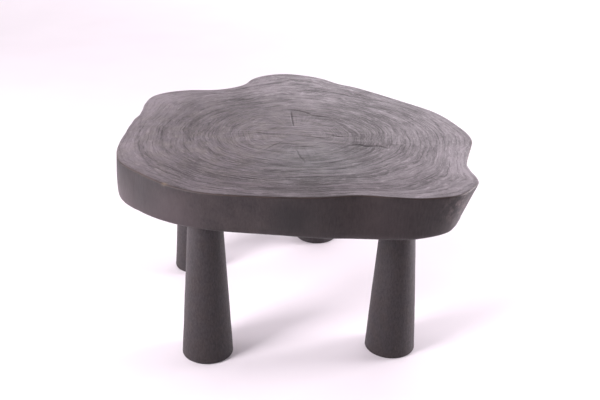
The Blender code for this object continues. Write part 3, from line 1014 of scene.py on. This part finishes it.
def turned_leg_material():
    """Hardwood turned along its grain and stained black: dull, speckled with short open pores standing
    upright, and browner in places."""
    material, tree = new_material("black_stained_turned_wood")
    place = add_node(tree, "TexCoord", "Object", {})
    width, length = LEG_PORES
    upright = add_node(tree, "VectorMath", "Vector",
                       {0: place, 1: (1 / (width * MM), 1 / (width * MM), 1 / (length * MM))},
                       operation="MULTIPLY")
    pores = add_node(tree, "TexNoise", "Fac",
                     {"Vector": upright, "Scale": 1.0, "Detail": 4.0, "Roughness": 0.7})
    share = add_node(tree, "MapRange", "Result", {"Value": pores, "From Min": 0.3, "From Max": 0.7})
    tone = add_node(tree, "Mix", 2, {0: share, 6: linear("#1e1a1c"), 7: linear("#332d2f")}, data_type="RGBA")
    browned = add_node(tree, "Mix", 2, {0: share, 6: linear("#211a1b"), 7: linear("#352e2d")},
                       data_type="RGBA")
    tinge = add_node(tree, "TexNoise", "Fac",
                     {"Vector": place, "Scale": 1 / (LEG_TINGE * MM), "Detail": 2.0})
    tinge = add_node(tree, "MapRange", "Result", {"Value": tinge, "From Min": 0.4, "From Max": 0.65})
    tone = add_node(tree, "Mix", 2, {0: tinge, 6: tone, 7: browned}, data_type="RGBA")
    rough = add_node(tree, "MapRange", "Result",
                     {"Value": pores, "From Min": 0.3, "From Max": 0.7, "To Min": 0.65, "To Max": 0.5})
    bump = add_node(tree, "Bump", "Normal", {"Height": pores, "Strength": 0.5, "Distance": 0.5 * MM})
    shader = add_node(tree, "BsdfPrincipled", "BSDF",
                      {"Base Color": tone, "Roughness": rough, "Normal": bump, "IOR": 1.5,
                       "Specular IOR Level": 0.42})
    add_node(tree, "OutputMaterial", None, {"Surface": shader})
    return material


def plated_steel_material():
    """Steel rolled to a thread and zinc plated: bright grey with a faint cloudy bloom."""
    material, tree = new_material("zinc_plated_steel")
    place = add_node(tree, "TexCoord", "Object", {})
    bloom = add_node(tree, "TexNoise", "Fac",
                     {"Vector": place, "Scale": 1 / (PLATING_BLOOM * MM), "Detail": 4.0, "Roughness": 0.6})
    tone = add_node(tree, "Mix", 2, {0: bloom, 6: linear("#a3a8ad"), 7: linear("#c9ccce")}, data_type="RGBA")
    rough = add_node(tree, "MapRange", "Result", {"Value": bloom, "To Min": 0.45, "To Max": 0.25})
    shader = add_node(tree, "BsdfPrincipled", "BSDF",
                      {"Base Color": tone, "Roughness": rough, "Metallic": 1.0})
    add_node(tree, "OutputMaterial", None, {"Surface": shader})
    return material


def turned_brass_material():
    """Brass turned on a lathe: yellow, with fine level tool marks and a little tarnish between them."""
    material, tree = new_material("turned_brass")
    place = add_node(tree, "TexCoord", "Object", {})
    length, width = TOOL_MARKS
    level = add_node(tree, "VectorMath", "Vector",
                     {0: place, 1: (1 / (length * MM), 1 / (length * MM), 1 / (width * MM))},
                     operation="MULTIPLY")
    tooling = add_node(tree, "TexNoise", "Fac", {"Vector": level, "Scale": 1.0, "Detail": 2.0})
    tone = add_node(tree, "Mix", 2, {0: tooling, 6: linear("#94733a"), 7: linear("#c6a25c")},
                    data_type="RGBA")
    rough = add_node(tree, "MapRange", "Result", {"Value": tooling, "To Min": 0.42, "To Max": 0.22})
    bump = add_node(tree, "Bump", "Normal", {"Height": tooling, "Strength": 0.3, "Distance": 0.05 * MM})
    shader = add_node(tree, "BsdfPrincipled", "BSDF",
                      {"Base Color": tone, "Roughness": rough, "Metallic": 1.0, "Normal": bump})
    add_node(tree, "OutputMaterial", None, {"Surface": shader})
    return material


def studio_floor_material():
    """Matt white paint on board: even, with a trace of mottling."""
    material, tree = new_material("matt_white_paint")
    place = add_node(tree, "TexCoord", "Object", {})
    mottle = add_node(tree, "TexNoise", "Fac", {"Vector": place, "Scale": 1 / (FLOOR_MOTTLE * MM)})
    tone = add_node(tree, "Mix", 2, {0: mottle, 6: linear("#f4f0f3"), 7: linear("#faf6f9")},
                    data_type="RGBA")
    shader = add_node(tree, "BsdfPrincipled", "BSDF",
                      {"Base Color": tone, "Roughness": 0.9, "Specular IOR Level": 0.2})
    add_node(tree, "OutputMaterial", None, {"Surface": shader})
    return material


# Studio: camera, floor and light


def set_camera():
    """The camera at the photograph's place, looking down at the table."""
    camera = bpy.data.objects.new("camera", bpy.data.cameras.new("camera"))
    camera.data.sensor_width = SENSOR_WIDTH
    camera.data.lens = LENS
    camera.matrix_world = (Matrix.Translation(CAMERA_PLACE)
                           @ Matrix.Rotation(math.radians(90) - CAMERA_DOWN, 4, "X")
                           @ Matrix.Rotation(CAMERA_ROLL, 4, "Z"))
    bpy.context.scene.collection.objects.link(camera)
    bpy.context.scene.camera = camera


def lay_floor():
    """A wide plain white floor."""
    bpy.ops.object.select_all(action="DESELECT")
    bpy.ops.mesh.primitive_plane_add(size=FLOOR_SIZE)
    floor = bpy.context.object
    floor.name = "white_floor"
    floor.data.materials.append(studio_floor_material())


def add_soft_light(name, place, width, depth, power):
    """A large area light hung at a place and turned to the table."""
    lamp = bpy.data.lights.new(name, "AREA")
    lamp.shape = "RECTANGLE"
    lamp.size = width
    lamp.size_y = depth
    lamp.energy = power
    lamp.color = linear(LIGHT_TINT)[:3]
    light = bpy.data.objects.new(name, lamp)
    light.location = place
    light.rotation_euler = (Vector(TABLE_MIDDLE) - Vector(place)).to_track_quat("-Z", "Y").to_euler()
    light.visible_camera = False
    bpy.context.scene.collection.objects.link(light)


def light_studio():
    """A bright wall behind the table, a dim room in front, an even backdrop in view, and five soft lamps."""
    world = bpy.data.worlds.new("white_studio")
    world.use_nodes = True
    tree = world.node_tree
    tree.nodes.clear()
    direction = add_node(tree, "TexCoord", "Generated", {})
    depth = add_node(tree, "SeparateXYZ", "Y", {"Vector": direction})
    strength = add_node(tree, "MapRange", "Result",
                        {"Value": depth, "From Min": 0.0, "From Max": BACK_WALL_FULL,
                         "To Min": ROOM_GLOW, "To Max": ROOM_GLOW + BACK_WALL_GLOW},
                        interpolation_type="SMOOTHSTEP")
    seen = add_node(tree, "LightPath", "Is Camera Ray", {})
    strength = add_node(tree, "Mix", 0, {0: seen, 2: strength, 3: BACKDROP_GLOW}, data_type="FLOAT")
    sky = add_node(tree, "Background", "Background", {"Color": linear(LIGHT_TINT), "Strength": strength})
    add_node(tree, "OutputWorld", None, {"Surface": sky})
    bpy.context.scene.world = world
    for lamp in LAMPS:
        add_soft_light(*lamp)
    bpy.context.scene.view_settings.view_transform = "Standard"


set_camera()
lay_floor()
light_studio()

slab = tree_section()
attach(slab, "root")
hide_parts("slab_top")

first_leg = turned_leg()
first_bolt = hanger_bolt()
first_insert = threaded_insert()
for corner in CORNERS:
    leg = copy_to_corner(first_leg, "turned_leg", "leg", corner)
    raise_grain(leg, f"leg_{corner}")
    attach(leg, "root")
    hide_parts(f"leg_{corner}")
    bolt = copy_to_corner(first_bolt, "zinc_hanger_bolt", "hanger_bolt", corner)
    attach(bolt, "root")
    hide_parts(f"hanger_bolt_{corner}")
    insert = copy_to_corner(first_insert, "brass_insert", "threaded_insert", corner)
    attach(insert, "root")
    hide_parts(f"threaded_insert_{corner}")
for pattern in (first_leg, first_bolt, first_insert):
    bpy.data.objects.remove(pattern)
